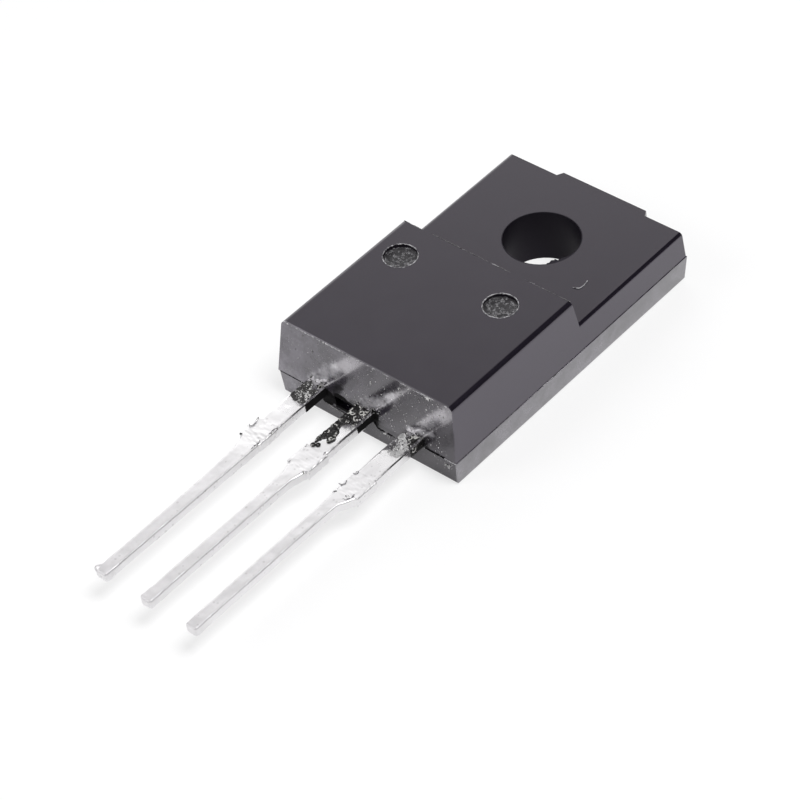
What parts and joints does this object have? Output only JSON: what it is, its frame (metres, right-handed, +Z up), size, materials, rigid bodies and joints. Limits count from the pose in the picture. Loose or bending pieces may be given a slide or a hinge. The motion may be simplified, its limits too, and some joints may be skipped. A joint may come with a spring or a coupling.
{
  "type": "power transistor",
  "caption": "Flat power transistor in a fully moulded resin case, with a screw tab, a raised thick part and parallel tinned leads.",
  "frame": {"origin": "on the axis of the screw hole, in the plane of the heat-sink face", "axes": "+Z up, from the heat-sink face to the marking face; +Y towards the tab end, the leads point to -Y; +X right, seen from above with the leads down"},
  "size_m": [0.0102, 0.031, 0.0042],
  "materials": {
    "moulding_resin": "semi-gloss moulded epoxy",
    "tinned_lead": "bright solder-dipped copper, slightly wavy",
    "silicon": "polished silicon",
    "solder": "dull soft solder",
    "bond_wire": "drawn aluminium"
  },
  "bodies": {
    "root": {"moulded_body": "moulding_resin", "die_pad_centre_lead": "tinned_lead", "gate_lead": "tinned_lead", "source_lead": "tinned_lead", "die": "silicon", "die_solder": "solder", "gate_wire": "bond_wire", "source_wire": "bond_wire"}
  },
  "joints": []
}
